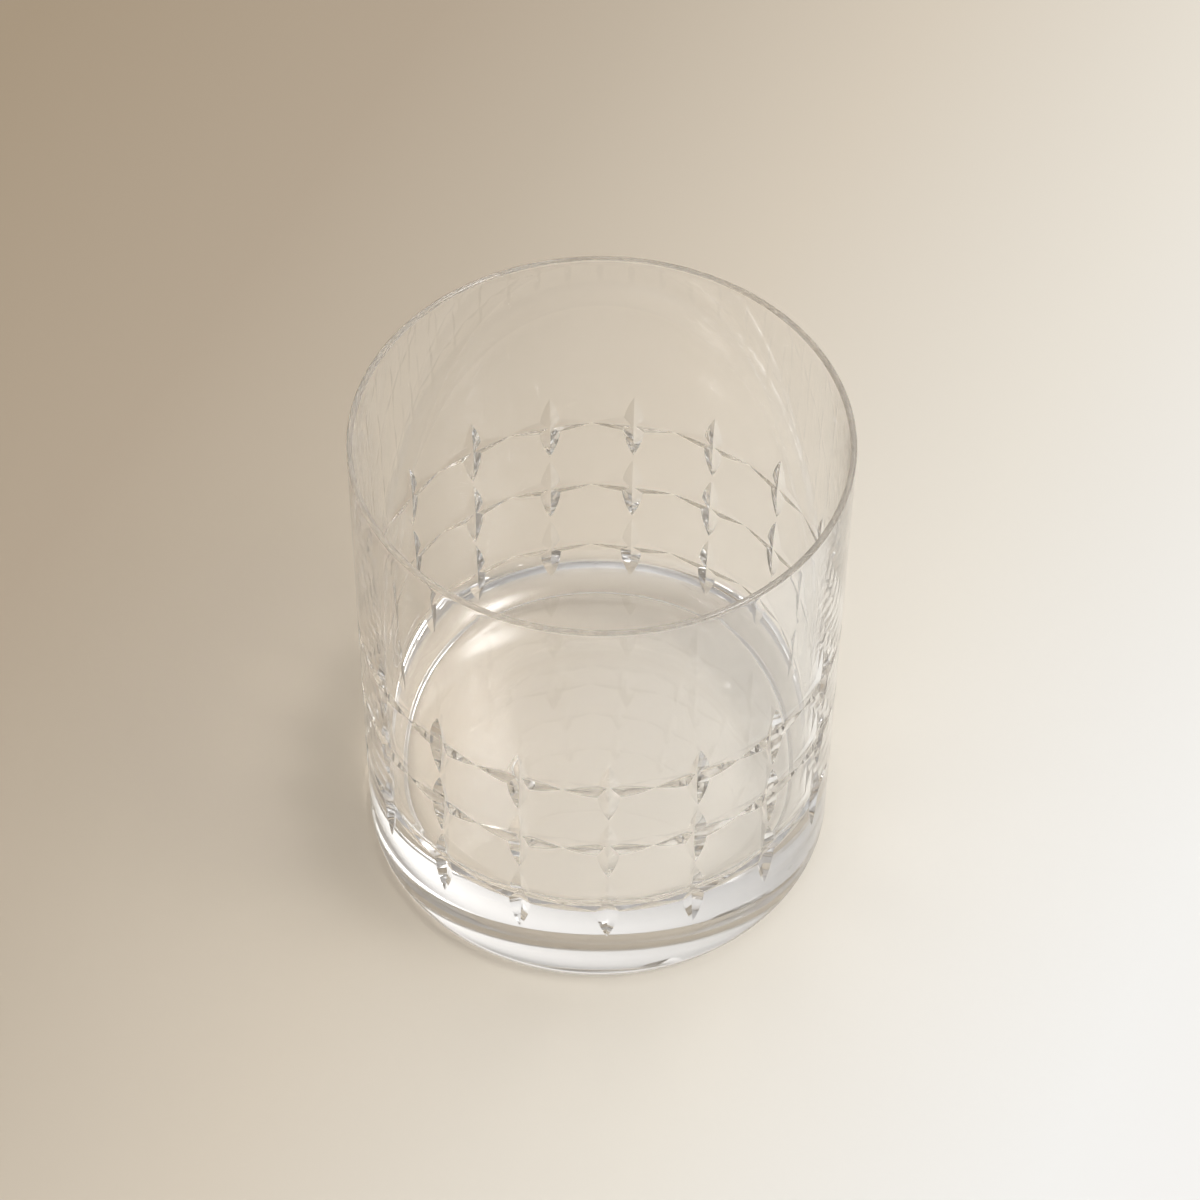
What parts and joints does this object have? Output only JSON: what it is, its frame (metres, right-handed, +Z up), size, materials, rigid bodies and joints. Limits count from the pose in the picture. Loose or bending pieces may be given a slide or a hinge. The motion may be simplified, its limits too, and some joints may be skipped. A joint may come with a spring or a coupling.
{
  "type": "whiskey tumbler",
  "caption": "Heavy-based clear whiskey tumbler with thin round lip and cross-shaped cuts around its lower half; holds a short drink and ice.",
  "frame": {"origin": "on the glass's axis, level with the narrow ring under the base that the glass stands on", "axes": "+Z up along the glass's axis; -Y is the front, where one column of crosses stands"},
  "size_m": [0.088, 0.088, 0.1015],
  "materials": {
    "glass": "clear, polished, with ground and polished cuts"
  },
  "bodies": {
    "root": {"tumbler": "glass"}
  },
  "joints": []
}
